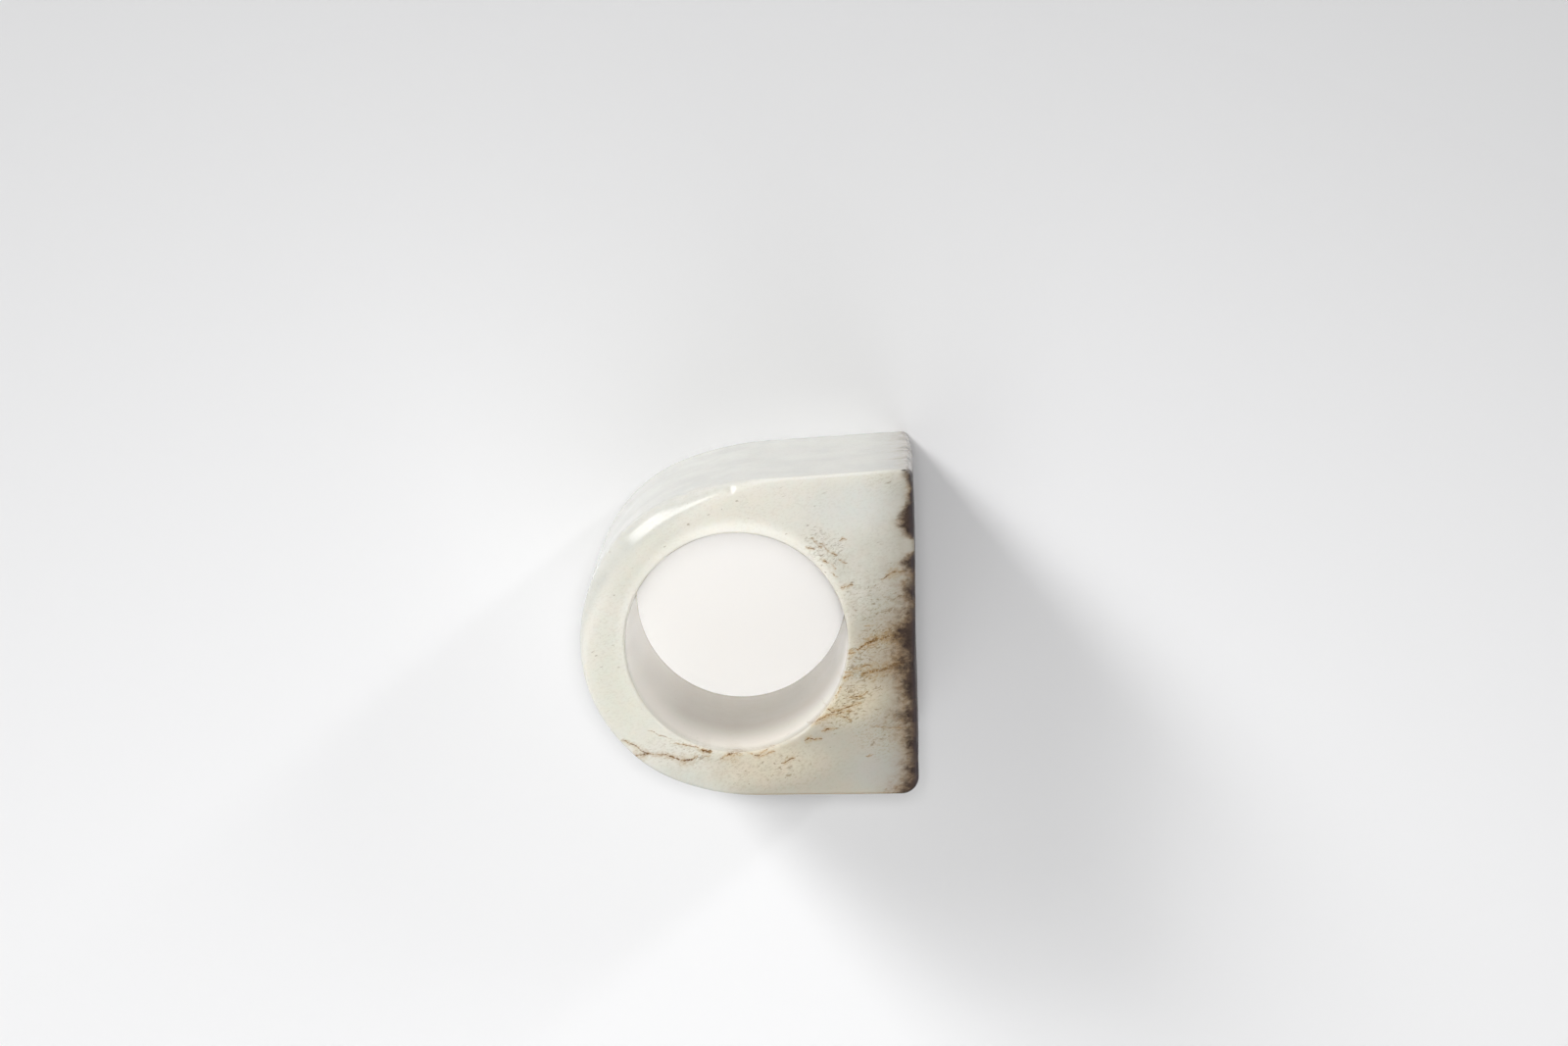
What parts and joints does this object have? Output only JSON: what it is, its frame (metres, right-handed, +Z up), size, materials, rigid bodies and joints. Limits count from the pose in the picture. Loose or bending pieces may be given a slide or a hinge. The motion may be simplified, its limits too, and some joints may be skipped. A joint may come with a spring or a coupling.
{
  "type": "archers thumb ring",
  "caption": "One-piece jade thumb ring with a round side, a sloping flat shoulder, a flat foot and a flat dark-skinned spine round a wide straight bore.",
  "frame": {"origin": "on the bore's axis, in the end face that the ring rests on", "axes": "+Z up along the bore, +X towards the flat spine with the dark skin, +Y towards the sloping shoulder and -Y towards the flat foot"},
  "size_m": [0.033, 0.0319, 0.0254],
  "materials": {
    "jade": "polished pale jade, waxy and slightly translucent, with a dark skin on the spine"
  },
  "bodies": {
    "root": {"thumb_ring": "jade"}
  },
  "joints": []
}
